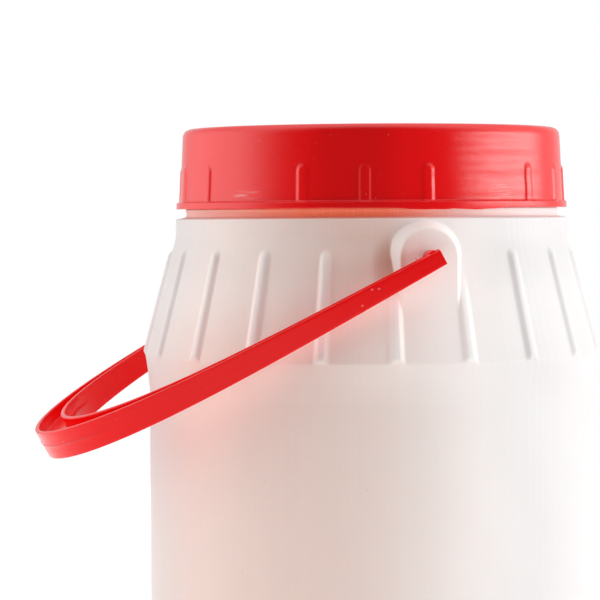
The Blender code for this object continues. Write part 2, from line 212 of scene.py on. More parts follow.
class Bench:
    """The modelling bench: the few moves that every piece is made with."""

    SMOOTH_ANGLE = math.radians(32.0)

    @staticmethod
    def clear() -> None:
        """Leave edit mode and deselect everything."""
        if bpy.context.object is not None and bpy.context.object.mode != "OBJECT":
            bpy.ops.object.mode_set(mode="OBJECT")
        bpy.ops.object.select_all(action="DESELECT")

    @staticmethod
    def take(piece: bpy.types.Object) -> None:
        """Select one piece alone and make it the active one."""
        Bench.clear()
        piece.select_set(True)
        bpy.context.view_layer.objects.active = piece

    @staticmethod
    def draw(name: str, points: Sequence[Place]) -> bpy.types.Object:
        """Draw a line of edges point by point and stay in edit mode with its last point selected.

        Args:
            name: The new piece's name.
            points: The places to draw through.

        Returns:
            The new object.
        """
        Bench.clear()
        bpy.ops.mesh.primitive_plane_add(size=MERGE_DISTANCE)
        piece = bpy.context.object
        piece.name = piece.data.name = name
        bpy.ops.object.mode_set(mode="EDIT")
        bpy.ops.mesh.select_mode(type="VERT")
        bpy.ops.mesh.select_all(action="SELECT")
        bpy.ops.mesh.merge(type="CENTER")
        bpy.ops.transform.translate(value=points[0])
        for start, end in pairwise(points):
            move = [after - before for before, after in zip(start, end)]
            bpy.ops.mesh.extrude_vertices_move(TRANSFORM_OT_translate={"value": move})
        return piece

    @staticmethod
    def lathe(name: str, profile: Sequence[Point], columns: int) -> bpy.types.Object:
        """Spin a profile of radius and height round the Z axis into a closed body.

        Args:
            name: The new piece's name.
            profile: The outline from one end on the axis to the other.
            columns: How many steps one turn has.

        Returns:
            The turned object.
        """
        piece = Bench.draw(name, [(radius, 0.0, height) for radius, height in profile])
        bpy.ops.mesh.select_all(action="SELECT")
        bpy.ops.mesh.spin(steps=columns, angle=FULL_TURN, center=(0, 0, 0), axis=(0, 0, 1))
        Bench.close_up()
        return piece

    @staticmethod
    def close_up() -> None:
        """Merge doubled points, turn all faces outwards and leave edit mode."""
        bpy.ops.mesh.select_all(action="SELECT")
        bpy.ops.mesh.remove_doubles(threshold=MERGE_DISTANCE)
        bpy.ops.mesh.normals_make_consistent(inside=False)
        bpy.ops.object.mode_set(mode="OBJECT")

    @staticmethod
    def select_faces(piece: bpy.types.Object, wanted: Callable[[Vector, Vector], bool]) -> None:
        """Select the faces whose centre and normal fit, and enter edit mode on them.

        Args:
            piece: The object whose faces are chosen.
            wanted: A test on a face's centre and normal.
        """
        Bench.take(piece)
        bpy.ops.object.mode_set(mode="EDIT")
        bpy.ops.mesh.select_mode(type="FACE")
        bpy.ops.mesh.select_all(action="DESELECT")
        bpy.ops.object.mode_set(mode="OBJECT")
        for face in piece.data.polygons:
            face.select = wanted(face.center, face.normal)
        bpy.ops.object.mode_set(mode="EDIT")

    @staticmethod
    def points_of(piece: bpy.types.Object) -> np.ndarray:
        """All points of a piece as rows of x, y and z."""
        places = np.empty(len(piece.data.vertices) * 3)
        piece.data.vertices.foreach_get("co", places)
        return places.reshape(-1, 3)

    @staticmethod
    def set_points(piece: bpy.types.Object, places: np.ndarray) -> None:
        """Move all points of a piece to new places."""
        piece.data.vertices.foreach_set("co", np.ascontiguousarray(places).ravel())
        piece.data.update()

    @staticmethod
    def polar(places: np.ndarray) -> tuple[np.ndarray, np.ndarray]:
        """Azimuths of points, and their distances from the Z axis."""
        return np.arctan2(places[:, 0], -places[:, 1]), np.hypot(places[:, 0], places[:, 1])

    @staticmethod
    def spread(piece: bpy.types.Object, places: np.ndarray, radius: np.ndarray) -> None:
        """Give a piece its points at new distances from the Z axis.

        Args:
            piece: The object whose points move.
            places: Its points as rows of x, y and z, which are changed.
            radius: The new distance of each point.
        """
        scale = radius / np.maximum(Bench.polar(places)[1], MERGE_DISTANCE)
        places[:, 0] *= scale
        places[:, 1] *= scale
        Bench.set_points(piece, places)

    @staticmethod
    def dress(piece: bpy.types.Object, material: bpy.types.Material) -> None:
        """Shade a finished piece smooth and give it its only material.

        Args:
            piece: The finished object.
            material: Its material.
        """
        Bench.smooth(piece)
        piece.data.materials.clear()
        piece.data.materials.append(material)

    @staticmethod
    def mark(piece: bpy.types.Object, name: str, values: np.ndarray) -> None:
        """Store a value for each point under a name that materials can read."""
        piece.data.attributes.new(name, "FLOAT", "POINT").data.foreach_set("value", values)

    @staticmethod
    def keep(name: str) -> bpy.types.Object:
        """Name the new primitive and put its place, turn and size into its mesh.

        Args:
            name: The new object's name.

        Returns:
            The new object.
        """
        piece = bpy.context.object
        piece.name = name
        bpy.ops.object.transform_apply(location=True, rotation=True, scale=True)
        return piece

    @staticmethod
    def bevel(piece: bpy.types.Object, width: float, rows: int) -> None:
        """Round a piece's sharp edges with a bevel modifier that is applied.

        Args:
            piece: The object to round.
            width: How far from an edge the rounding starts.
            rows: How many rows of faces it has.
        """
        Bench.take(piece)
        change = piece.modifiers.new("edges", "BEVEL")
        change.width = width
        change.segments = rows
        change.limit_method = "ANGLE"
        bpy.ops.object.modifier_apply(modifier=change.name)

    @staticmethod
    def combine(piece: bpy.types.Object, tool: bpy.types.Object, operation: str) -> None:
        """Join a tool to a piece or cut it away, and remove the tool.

        Args:
            piece: The piece that stays.
            tool: The piece that is used up.
            operation: UNION or DIFFERENCE.
        """
        Bench.take(piece)
        change = piece.modifiers.new(tool.name, "BOOLEAN")
        change.operation = operation
        change.solver = "EXACT"
        change.object = tool
        bpy.ops.object.modifier_apply(modifier=change.name)
        bpy.data.objects.remove(tool, do_unlink=True)

    @staticmethod
    def smooth(piece: bpy.types.Object) -> None:
        """Shade a piece smooth, with its true edges kept sharp."""
        Bench.take(piece)
        bpy.ops.object.shade_smooth_by_angle(angle=Bench.SMOOTH_ANGLE)

    @staticmethod
    def crowd_columns(places: np.ndarray, pitch: float, centre: float,
                      share: float, width: float) -> np.ndarray:
        """Turn points round the axis so that the columns crowd at evenly spaced places.

        Args:
            places: The points.
            pitch: The angle between two places.
            centre: The azimuth of one place.
            share: The share of the columns that comes to lie near a place.
            width: The share of the pitch that those columns then fill.

        Returns:
            The turned points.
        """
        azimuth, radius = Bench.polar(places)
        turns = (azimuth - centre) / pitch + 0.5
        whole = np.floor(turns)
        stops = (0.0, 0.5 - share / 2.0, 0.5 + share / 2.0, 1.0)
        new_stops = (0.0, 0.5 - width / 2.0, 0.5 + width / 2.0, 1.0)
        moved = (whole + np.interp(turns - whole, stops, new_stops) - 0.5) * pitch + centre
        return np.column_stack((radius * np.sin(moved), -radius * np.cos(moved), places[:, 2]))


class Signal:
    """A number that varies over a surface: a socket that works with Python's operators."""

    def __init__(self, draft: "Draft", socket: bpy.types.NodeSocket) -> None:
        """Wrap an output socket."""
        self.draft = draft
        self.socket = socket

    def _math(self, operation: str, *values: Any, clamp: bool = False) -> "Signal":
        """Add a Math node that works on the given values."""
        settings = {"operation": operation, "use_clamp": clamp}
        node = self.draft.node("ShaderNodeMath", settings, dict(enumerate(values)))
        return Signal(self.draft, node.outputs[0])

    def __add__(self, other: "Signal | float") -> "Signal":
        """Sum."""
        return self._math("ADD", self, other)

    __radd__ = __add__

    def __sub__(self, other: "Signal | float") -> "Signal":
        """Difference."""
        return self._math("SUBTRACT", self, other)

    def __rsub__(self, other: float) -> "Signal":
        """Difference from a number."""
        return self._math("SUBTRACT", other, self)

    def __mul__(self, other: "Signal | float") -> "Signal":
        """Product."""
        return self._math("MULTIPLY", self, other)

    __rmul__ = __mul__

    def __truediv__(self, other: "Signal | float") -> "Signal":
        """Quotient."""
        return self._math("DIVIDE", self, other)

    def __rtruediv__(self, other: float) -> "Signal":
        """Quotient of a number."""
        return self._math("DIVIDE", other, self)

    def __neg__(self) -> "Signal":
        """Opposite."""
        return self._math("MULTIPLY", self, -1.0)

    def __abs__(self) -> "Signal":
        """Distance from zero."""
        return self._math("ABSOLUTE", self)

    def root(self) -> "Signal":
        """Square root."""
        return self._math("SQRT", self)

    def turned_from(self, other: "Signal") -> "Signal":
        """Angle whose sine goes with this signal and whose cosine goes with the other."""
        return self._math("ARCTAN2", self, other)

    def most(self, other: "Signal | float") -> "Signal":
        """The larger of two signals."""
        return self._math("MAXIMUM", self, other)

    def clamped(self) -> "Signal":
        """The signal kept between 0 and 1."""
        return self._math("ADD", self, 0.0, clamp=True)

    def step(self, low: float, high: float) -> "Signal":
        """A smooth step from 0 at the low mark to 1 at the high mark, or the other way round."""
        settings = {"interpolation_type": "SMOOTHSTEP"}
        rising = low < high
        sockets = {"Value": self, "From Min": min(low, high), "From Max": max(low, high),
                   "To Min": 0.0 if rising else 1.0, "To Max": 1.0 if rising else 0.0}
        return Signal(self.draft, self.draft.node("ShaderNodeMapRange", settings, sockets).outputs[0])


class Draft:
    """A material on the drawing board."""

    def __init__(self, name: str) -> None:
        """Start a material with a plain Principled shader."""
        self.material = bpy.data.materials.new(name)
        self.material.use_nodes = True
        self.tree = self.material.node_tree
        self.shader = self.tree.nodes.get("Principled BSDF")

    def feed(self, socket: bpy.types.NodeSocket, value: Any) -> None:
        """Link a signal or a socket to an input, or set the input's own value.

        Args:
            socket: The input.
            value: A signal, a socket or a plain value.
        """
        if isinstance(value, Signal):
            value = value.socket
        if isinstance(value, bpy.types.NodeSocket):
            self.tree.links.new(value, socket)
        else:
            socket.default_value = value

    def node(self, kind: str, settings: dict[str, Any], sockets: dict[Any, Any]) -> bpy.types.Node:
        """Add a node.

        Args:
            kind: The node's type.
            settings: Its own settings, with a ramp's stops under the name "stops".
            sockets: The value or link of each input, by name or place.

        Returns:
            The new node.
        """
        node = self.tree.nodes.new(kind)
        for name, value in settings.items():
            if name == "stops":
                self._set_stops(node.color_ramp, value)
            else:
                setattr(node, name, value)
        for name, value in sockets.items():
            self.feed(node.inputs[name], value)
        return node

    @staticmethod
    def _set_stops(ramp: bpy.types.ColorRamp, stops: Sequence[tuple[float, float]]) -> None:
        """Give a ramp its stops.

        Args:
            ramp: The node's ramp.
            stops: The stops, each a position and a grey level.
        """
        ramp.interpolation = "B_SPLINE"
        while len(ramp.elements) < len(stops):
            ramp.elements.new(0.5)
        for element, (position, level) in zip(ramp.elements, stops):
            element.position = position
            element.color = (level, level, level, 1.0)

    def place(self) -> tuple[Signal, Signal, Signal]:
        """Read where a point of the surface lies.

        Returns:
            The point's own x, y and z in the object's frame.
        """
        spot = self.node("ShaderNodeTexCoord", {}, {}).outputs["Object"]
        parts = self.node("ShaderNodeSeparateXYZ", {}, {0: spot})
        return tuple(Signal(self, output) for output in parts.outputs)

    def marked(self, name: str) -> Signal:
        """The values that the mesh stores under a name."""
        return Signal(self, self.node("ShaderNodeAttribute", {"attribute_name": name}, {}).outputs["Fac"])

    def joined(self, x: Any, y: Any, z: Any) -> bpy.types.NodeSocket:
        """A vector from three signals or numbers."""
        return self.node("ShaderNodeCombineXYZ", {}, {0: x, 1: y, 2: z}).outputs[0]

    def noise(self, where: bpy.types.NodeSocket, scale: float, detail: float = 2.0) -> Signal:
        """Cloudy noise, from 0 to 1."""
        sockets = {"Vector": where, "Scale": scale, "Detail": detail}
        return Signal(self, self.node("ShaderNodeTexNoise", {}, sockets).outputs[0])

    def spots(self, where: bpy.types.NodeSocket, scale: float, size: float) -> Signal:
        """Small round specks, 1 in their middle and 0 outside, at random places.

        Args:
            where: The pattern's coordinates.
            scale: How many cells there are in a metre.
            size: A speck's radius as a share of a cell.

        Returns:
            The specks' mask.
        """
        sockets = {"Vector": where, "Scale": scale, "Randomness": 1.0}
        cells = self.node("ShaderNodeTexVoronoi", {}, sockets)
        return Signal(self, cells.outputs["Distance"]).step(size, size * 0.3)

    def ramp(self, signal: Signal, stops: Sequence[tuple[float, float]]) -> Signal:
        """A curve through grey stops."""
        node = self.node("ShaderNodeValToRGB", {"stops": stops}, {"Fac": signal})
        return Signal(self, node.outputs[0])

    def mix(self, share: Any, first: Any, second: Any) -> bpy.types.NodeSocket:
        """Mix two colours.

        Args:
            share: How much of the second colour there is.
            first: A colour or a colour socket.
            second: A colour or a colour socket.

        Returns:
            The mixed colour's socket.
        """
        first, second = ((*c, 1.0) if isinstance(c, tuple) else c for c in (first, second))
        node = self.node("ShaderNodeMix", {"data_type": "RGBA"}, {0: share, 6: first, 7: second})
        return node.outputs[2]

    def spot(self, where: tuple[Signal, Signal, Signal], centre: Place, size: Place) -> Signal:
        """A soft round patch at one place, 1 in its middle and 0 at its edge.

        Args:
            where: The surface's own x, y and z.
            centre: The patch's middle.
            size: Its reach along x, y and z.

        Returns:
            The patch's mask.
        """
        total = None
        for axis, middle, reach in zip(where, centre, size):
            off = (axis - middle) / reach
            total = off * off if total is None else total + off * off
        return total.step(1.0, 0.0)

    def relief(self, height: Signal, distance: float, under: Any = None) -> bpy.types.NodeSocket:
        """Turn a height signal into a normal, on top of an earlier relief if there is one.

        Args:
            height: The heights, from 0 to 1.
            distance: How far 1 stands out, in metres.
            under: The earlier relief's normal.

        Returns:
            The normal's socket.
        """
        sockets = {"Height": height, "Distance": distance, "Strength": 1.0}
        if under is not None:
            sockets["Normal"] = under
        return self.node("ShaderNodeBump", {}, sockets).outputs[0]

    def finish(self, **inputs: Any) -> bpy.types.Material:
        """Feed the shader's inputs and hand over the material.

        Args:
            inputs: Values or links by input name, with underscores for spaces.

        Returns:
            The finished material.
        """
        for name, value in inputs.items():
            self.feed(self.shader.inputs[name.replace("_", " ").title().replace("Ior", "IOR")], value)
        return self.material


@dataclass(frozen=True)
class MilkyPlastic:
    """Blow-moulded polyethylene: white, with painted light and shade laid out by the side that faced the
    camera: a painted pink shade, painted shade at the edges, a painted shadow left of the front pad, a
    painted orange-red glow on the neck and a painted glow over the shoulder and wall.
    """

    white: Colour = (0.91, 0.885, 0.875)
    # The pink colour is painted shade, tinted by red light from the lid and handle, strongest in the dim
    # middle of the side that faced the camera.
    painted_pink_shade: Colour = (0.87, 0.52, 0.39)
    # The orange-red colour and the neck's emitted light are a painted glow on the neck, standing in for red
    # light from the lid.
    glow: Colour = (0.86, 0.20, 0.09)
    shade: Colour = (0.62, 0.26, 0.15)
    # The grey is painted shade at both edges as seen from the camera, deepest on the right.
    painted_edge_shade: Colour = (0.61, 0.595, 0.595)
    streak: Colour = (0.97, 0.95, 0.94)
    speck: Colour = (0.35, 0.22, 0.16)
    # The emitted light is a painted glow over the shoulder and wall, brightest towards the lit right side.
    painted_glow_colour: Colour = (1.0, 0.97, 0.95)
    neck_light: Colour = (0.95, 0.16, 0.05)
    light_strength: float = 0.30
    roughness: float = 0.42
    gloss: float = 0.4
    cloudiness: float = 0.22
    cloud_depths: Colour = (1.0, 0.55, 0.45)
    cloud_scale: float = 0.004
    # The bars and pad flanks keep less of the painted pink shade, so they are painted lighter.
    raised_painted_lightening: float = 0.45
    shade_share: float = 0.72
    shade_place: Place = (-0.0185, -0.101, 0.2165)
    shade_size: Place = (0.0095, 0.020, 0.0180)
    clouds_per_metre: float = 14.0
    wear_per_metre: float = 55.0
    specks_per_metre: float = 70.0
    speck_size: float = 0.035
    waves_per_metre: float = 22.0
    wave_height: float = 0.0016
    streaks_per_turn: float = 260.0
    streak_height: float = 0.00006
    peels_per_metre: float = 700.0
    peel_height: float = 0.00003
    view_turn: float = math.radians(-14.8)
    shoulder_painted_shade: Stops = (
        (0.0, 0.16), (0.18, 0.34), (0.36, 0.48), (0.47, 0.66), (0.56, 0.50), (0.66, 0.16), (1.0, 0.02))
    wall_painted_shade: Stops = (
        (0.0, 0.52), (0.30, 0.56), (0.50, 0.44), (0.62, 0.22), (0.76, 0.08), (1.0, 0.03))
    neck_glow: Stops = (
        (0.0, 0.30), (0.18, 0.62), (0.34, 0.88), (0.55, 0.90), (0.67, 0.42), (0.77, 0.06), (1.0, 0.0))
    shoulder_light: Stops = (
        (0.0, 0.16), (0.25, 0.16), (0.38, 0.15), (0.48, 0.45), (0.56, 0.66), (0.68, 0.48), (0.82, 0.62),
        (1.0, 0.64))
    wall_light: Stops = (
        (0.0, 0.16), (0.12, 0.10), (0.60, 0.16), (0.85, 0.43), (1.0, 0.50))

    def make(self, ledge_z: float, shelf_z: float, neck_radius: float) -> bpy.types.Material:
        """Build the material.

        Args:
            ledge_z: Height of the ledge between the wall and the cone.
            shelf_z: Height of the shelf round the neck.
            neck_radius: Radius of the neck.

        Returns:
            The material.
        """
        draft = Draft("milky_polyethylene")
        x, y, z = draft.place()
        here = draft.joined(x, y, z)
        radius = (x * x + y * y).root()
        azimuth = x.turned_from(-y)
        side = (x * math.cos(self.view_turn) + y * math.sin(self.view_turn)) / radius.most(0.01)
        across = side * 0.5 + 0.5
        raised = draft.marked(RAISED)
        # Painted light: the neck is painted orange-red and made to glow, strongest on the side that faced
        # the camera.
        neck = (z.step(shelf_z + 0.0004, shelf_z + 0.0016)
                * radius.step(neck_radius + 0.0040, neck_radius + 0.0022))
        lit = neck * draft.ramp(across, self.neck_glow)

        # Painted pink shade: laid across the side that faced the camera, with its own curve on the shoulder
        # and on the wall, and a little random cloud.
        pale = z.step(ledge_z - 0.012, ledge_z + 0.045)
        cloud = draft.noise(here, self.clouds_per_metre)
        shoulder = draft.ramp(across, self.shoulder_painted_shade) * pale
        painted_pink_shade = shoulder + draft.ramp(across, self.wall_painted_shade) * (1.0 - pale)
        # The marked bars and pad flanks are painted lighter: they keep less of the painted shade.
        painted_pink_shade = painted_pink_shade * (1.0 - raised * self.raised_painted_lightening) + (cloud - 0.5) * 0.14
        colour = draft.mix(painted_pink_shade.clamped(), self.white, self.painted_pink_shade)
        # Painted shade: the colour is greyed towards both edges as seen from the camera, most on the right.
        edges = across.step(0.15, 0.0) * 0.62 + across.step(0.66, 0.88) * 0.85
        colour = draft.mix(edges * (1.0 - neck), colour, self.painted_edge_shade)
        shade = draft.spot((x, y, z), self.shade_place, self.shade_size) * (1.0 - raised)
        colour = draft.mix(shade * self.shade_share, colour, self.shade)
        # Painted light: the neck's orange-red glow.
        colour = draft.mix(lit, colour, self.glow)
        streaks = draft.noise(draft.joined(azimuth, z * 0.004, 0.0), self.streaks_per_turn, 3.0)
        specks = draft.spots(here, self.specks_per_metre, self.speck_size)
        colour = draft.mix(streaks.step(0.35, 0.75) * 0.14, colour, self.streak)
        colour = draft.mix(specks * 0.35, colour, self.speck)

        worn = draft.noise(here, self.wear_per_metre, 4.0)
        rough = self.roughness + (worn - 0.5) * 0.16 + (streaks - 0.5) * 0.06
        low_waves = draft.noise(draft.joined(x, y, z * 0.6), self.waves_per_metre)
        normal = draft.relief(low_waves, self.wave_height)
        normal = draft.relief(streaks, self.streak_height, normal)
        normal = draft.relief(draft.noise(here, self.peels_per_metre), self.peel_height, normal)

        # Painted light: the shoulder and wall glow by emission, more towards the right and less near the
        # top.
        high = z.step(ledge_z - 0.030, ledge_z + 0.045)
        upper = z.step(shelf_z - 0.045, shelf_z - 0.020) * (0.30 + across.step(0.66, 0.54) * 0.50)
        inner = draft.ramp(across, self.shoulder_light) * high * (1.0 - upper)
        inner = inner + draft.ramp(across, self.wall_light) * (1.0 - high)
        light = draft.mix(lit, draft.mix(inner, (0.0, 0.0, 0.0), self.painted_glow_colour), self.neck_light)
        return draft.finish(
            base_color=colour, roughness=rough, normal=normal, ior=IOR, specular_ior_level=self.gloss,
            emission_color=light, emission_strength=self.light_strength, subsurface_weight=self.cloudiness,
            subsurface_radius=self.cloud_depths, subsurface_scale=self.cloud_scale)


@dataclass(frozen=True)
class RedPlastic:
    """Glossy red moulded plastic with flow marks, fine scratches and specks; on the lid also painted
    highlights and a painted shade in its middle.
    """

    name: str
    red: Colour
    pale: Colour = (0.92, 0.30, 0.28)
    line: Colour = (0.25, 0.006, 0.007)
    line_share: float = 0.45
    roughness: float = 0.17
    flow: float = 0.00025
    scuffs: float = 0.5
    scuffs_per_metre: float = 1500.0
    scuff_patches_per_metre: float = 26.0
    # How fine the streaks of the painted highlights are.
    highlight_lines_per_metre: float = 1900.0
    clouds_per_metre: float = 30.0
    specks_per_metre: float = 120.0
    speck_size: float = 0.045
    speck_height: float = 0.00010
    peels_per_metre: float = 420.0
    peel_height: float = 0.00002
    gloss: float = 0.5
    # Painted shade: the skirt is painted a darker red where it faced the camera, for the dim front of the
    # light.
    shade_facing_turn: float = math.radians(-20.0)
    deep: float = 0.0
    deep_shade: float = 0.62
    skirt_start: float = 0.0935
    skirt_full: float = 0.0965
    # Patches of painted highlight: pale streaks standing in for the side light's reflection.
    painted_highlights: tuple[tuple[Place, Place], ...] = ()
    flecks: tuple[Place, ...] = ()
    fleck_size: Place = (0.0008, 0.004, 0.0006)

    def make(self) -> bpy.types.Material:
        """Build the material.

        Returns:
            The material.
        """
        draft = Draft(self.name)
        x, y, z = draft.place()
        here = draft.joined(x, y, z)
        azimuth = x.turned_from(-y)
        cloud = draft.noise(here, self.clouds_per_metre, 3.0)
        level = draft.joined(x * 0.15, y * 0.15, z)
        scratches = draft.noise(level, self.scuffs_per_metre, 1.0).step(0.70, 0.78)
        patch = draft.noise(here, self.scuff_patches_per_metre).step(0.52, 0.66)
        scuffs_and_highlights = scratches * patch * self.scuffs
        specks = draft.spots(here, self.specks_per_metre, self.speck_size)
        colour = draft.mix((cloud - 0.35) * 0.25, self.red, (self.red[0] * 0.84, self.red[1], self.red[2]))
        # Painted shade: a darker red on the skirt where it faced the camera.
        if self.deep > 0.0:
            radius = (x * x + y * y).root()
            facing = (x * math.sin(self.shade_facing_turn) - y * math.cos(self.shade_facing_turn)) / radius.most(0.01)
            darker = tuple(part * self.deep_shade for part in self.red)
            skirt = radius.step(self.skirt_start, self.skirt_full)
            colour = draft.mix(facing.step(0.965, 0.999) * skirt * self.deep, colour, darker)
        # Painted highlights: pale streaks round the lid in each listed patch, added to the real scratches.
        ring = draft.joined(azimuth * 0.004, 0.0, z)
        lines = draft.noise(ring, self.highlight_lines_per_metre, 1.0).step(0.50, 0.62)
        for centre, size in self.painted_highlights:
            scuffs_and_highlights = scuffs_and_highlights + lines * draft.spot((x, y, z), centre, size) * 0.75
        for centre in self.flecks:
            specks = specks + draft.spot((x, y, z), centre, self.fleck_size) * 1.3
        # Pale marks: real scratches and specks, plus the painted highlights.
        colour = draft.mix((scuffs_and_highlights + specks * 0.5).clamped(), colour, self.pale)
        rough = self.roughness + (cloud - 0.5) * 0.10 + scuffs_and_highlights.clamped() * 0.25
        colour = draft.mix(draft.marked(RAISED) * self.line_share, colour, self.line)
        flow = draft.noise(draft.joined(azimuth * 0.25, z * 9.0, 0.0), 14.0)
        grain = draft.noise(draft.joined(azimuth, z * 26.0, 0.0), 16.0, 3.0)
        normal = draft.relief(flow + grain * 0.3, self.flow)
        normal = draft.relief(draft.noise(here, self.peels_per_metre), self.peel_height, normal)
        normal = draft.relief(specks, self.speck_height, normal)
        return draft.finish(base_color=colour, roughness=rough, normal=normal, ior=IOR,
                            specular_ior_level=self.gloss)


@dataclass
class BucketBody:
    """The blow-moulded bucket: foot, wall, ledge, barred cone, collar, neck and handle pads."""

    body_radius: float = 0.1150
    panel_radius: float = 0.1142
    panel_bottom: float = 0.0320
    ledge_z: float = 0.1720
    cone_base_radius: float = 0.1162
    cone_top_radius: float = 0.1012
    cone_height: float = 0.0566
    collar_radius: float = 0.1003
    shelf_z: float = 0.2411
    neck_radius: float = 0.0949
    bead_radius: float = 0.0954
    plug_radius: float = 0.0934
    plug_top: float = 0.2827
    lid_bottom: float = 0.2462
    base_recess: float = 0.0016
    base_disc_radius: float = 0.0220
    foot_inner_radius: float = 0.0840
    base_corner: float = 0.0130
    bars: int = 20
    bar_width: float = 0.0076
    bar_top_width: float = 0.0066
    bar_height: float = 0.0017
    bar_length: float = 0.0555
    bar_flank: float = 0.0022
    bar_ease: float = 0.30
    pivot_z: float = 0.2223
    pad_radius: float = 0.0145
    pad_face: float = 0.1085
    pad_draft: float = 0.42
    pad_spread: float = 0.26
    pad_fillet: float = 0.0009
    socket_radius: float = 0.0036
    socket_bottom: float = 0.1010
    columns_per_bar: int = 28
    crowded_columns: float = 0.68
    crowded_width: float = 0.30
    faded_azimuth: float = math.radians(9.0)
    fade_low: float = 0.196
    fade_high: float = 0.214
    finish: MilkyPlastic = field(default_factory=MilkyPlastic)

    @property
    def slope(self) -> float:
        """How fast the cone narrows with height."""
        return (self.cone_base_radius - self.cone_top_radius) / self.cone_height

    @property
    def cone_top(self) -> float:
        """Height of the cone's upper end."""
        return self.ledge_z + self.cone_height

    def profile(self) -> list[Point]:
        """Outline from the middle of the foot to the middle of the plug under the lid."""
        corners = [
            Corner(0.0, 0.0),
            Corner(self.base_disc_radius, 0.0, 0.0008),
            Corner(self.base_disc_radius + 0.002, self.base_recess, 0.0008),
            Corner(self.foot_inner_radius - 0.002, self.base_recess, 0.0008, 0.020),
            Corner(self.foot_inner_radius, 0.0, 0.0008),
            Corner(self.body_radius, 0.0, self.base_corner),
            Corner(self.body_radius, self.panel_bottom - 0.004, 0.006, 0.008),
            Corner(self.panel_radius, self.panel_bottom, 0.006),
            Corner(self.panel_radius, self.ledge_z - 0.018, 0.012, 0.008),
            Corner(self.body_radius, self.ledge_z - 0.009, 0.010),
            Corner(self.cone_base_radius + 0.0001, self.ledge_z, 0.0022, 0.004),
            Corner(self.cone_top_radius, self.cone_top, 0.008, 0.0012),
            Corner(self.collar_radius + 0.0002, self.cone_top + 0.0035, 0.010, 0.0012),
            Corner(self.collar_radius, self.shelf_z, 0.0008, 0.0012),
            Corner(self.neck_radius + 0.0004, self.shelf_z + 0.0009, 0.0010),
            Corner(self.neck_radius, self.lid_bottom - 0.0018, 0.0004),
            Corner(self.bead_radius, self.lid_bottom - 0.0015, 0.0004),
            Corner(self.bead_radius, self.lid_bottom - 0.0004, 0.0004),
            Corner(self.plug_radius, self.lid_bottom + 0.0012),
            Corner(self.plug_radius, self.plug_top, 0.0012),
            Corner(0.0, self.plug_top),
        ]
        return Outline(corners).points()

    def bar_relief(self, azimuth: np.ndarray, height: np.ndarray) -> np.ndarray:
        """How far the nearest bar stands out of the cone.

        Args:
            azimuth: Azimuths of the points.
            height: Heights of the points.

        Returns:
            The relief at each point.
        """
        pitch = FULL_TURN / self.bars
        off = (azimuth / pitch - np.floor(azimuth / pitch) - 0.5) * pitch
        above = height - self.ledge_z
        across = np.abs(off * (self.cone_base_radius - self.slope * above))
        up = above * math.hypot(1.0, self.slope)
        nose = self.bar_top_width / 2.0
        nose_at = self.bar_length - nose
        half = np.interp(up, (0.0, nose_at), (self.bar_width / 2.0, nose))
        side = np.where(up < nose_at, half - across, nose - np.hypot(across, up - nose_at))
        inside = np.minimum(side, up)
        beside_pad = np.abs(np.abs(azimuth) - self.faded_azimuth) < pitch / 4.0
        beside_pad |= np.abs(math.pi - np.abs(azimuth) - self.faded_azimuth) < pitch / 4.0
        fade = 1.0 - soft_ramp((height - self.fade_low) / (self.fade_high - self.fade_low), 0.25)
        rise = soft_ramp(inside / self.bar_flank, self.bar_ease)
        return self.bar_height * rise * np.where(beside_pad, fade, 1.0)

    def pad_reach(self, azimuth: np.ndarray, height: np.ndarray) -> np.ndarray:
        """Radius at which a line from the axis leaves the nearer handle pad.

        Args:
            azimuth: Azimuths of the points.
            height: Heights of the points.

        Returns:
            The radius at each point.
        """
        sideways = np.minimum(np.abs(np.sin(azimuth)), self.pad_spread)
        facing = np.sqrt(1.0 - sideways ** 2)
        reach = np.full_like(azimuth, self.pad_face)
        for _ in range(12):
            across = reach * sideways
            over = np.maximum(height - self.pivot_z, 0.0)
            outside = np.hypot(across, over) - self.pad_radius
            depth = self.pad_face - soft_positive(outside, self.pad_fillet) / self.pad_draft
            reach = 0.5 * reach + 0.5 * depth / facing
        return np.where(sideways < self.pad_spread, reach, 0.0)

    def press(self, piece: bpy.types.Object) -> None:
        """Push the bars and pads out of the turned cone.

        Args:
            piece: The turned body.
        """
        places = Bench.points_of(piece)
        azimuth, radius = Bench.polar(places)
        height = places[:, 2]
        shoulder = (height > self.ledge_z - 0.003) & (height < self.shelf_z)
        shoulder &= radius > self.neck_radius + 0.002
        raised = radius + self.bar_relief(azimuth, height)
        padded = soft_highest(raised, self.pad_reach(azimuth, height), self.pad_fillet)
        Bench.spread(piece, places, np.where(shoulder, padded, radius))

    def mark_raised(self, piece: bpy.types.Object) -> None:
        """Mark the bars' tops and the pads' flanks, which the material paints lighter by sparing them part
        of the painted pink shade.

        Args:
            piece: The finished body.
        """
        places = Bench.points_of(piece)
        azimuth, radius = Bench.polar(places)
        height = places[:, 2]
        cone = self.cone_base_radius - self.slope * (height - self.ledge_z)
        bars = self.bar_relief(azimuth, height) / self.bar_height
        reach = self.pad_reach(azimuth, height)
        front = reach * np.sqrt(1.0 - np.minimum(np.abs(np.sin(azimuth)), self.pad_spread) ** 2)
        flank = np.clip((reach - cone) / 0.0008, 0.0, 1.0)
        flank *= np.clip((self.pad_face - 0.0002 - front) / 0.0005, 0.0, 1.0)
        on_shoulder = (height > self.ledge_z) & (height < self.shelf_z) & (radius > 0.09)
        Bench.mark(piece, RAISED, np.where(on_shoulder, np.maximum(bars, flank), 0.0))

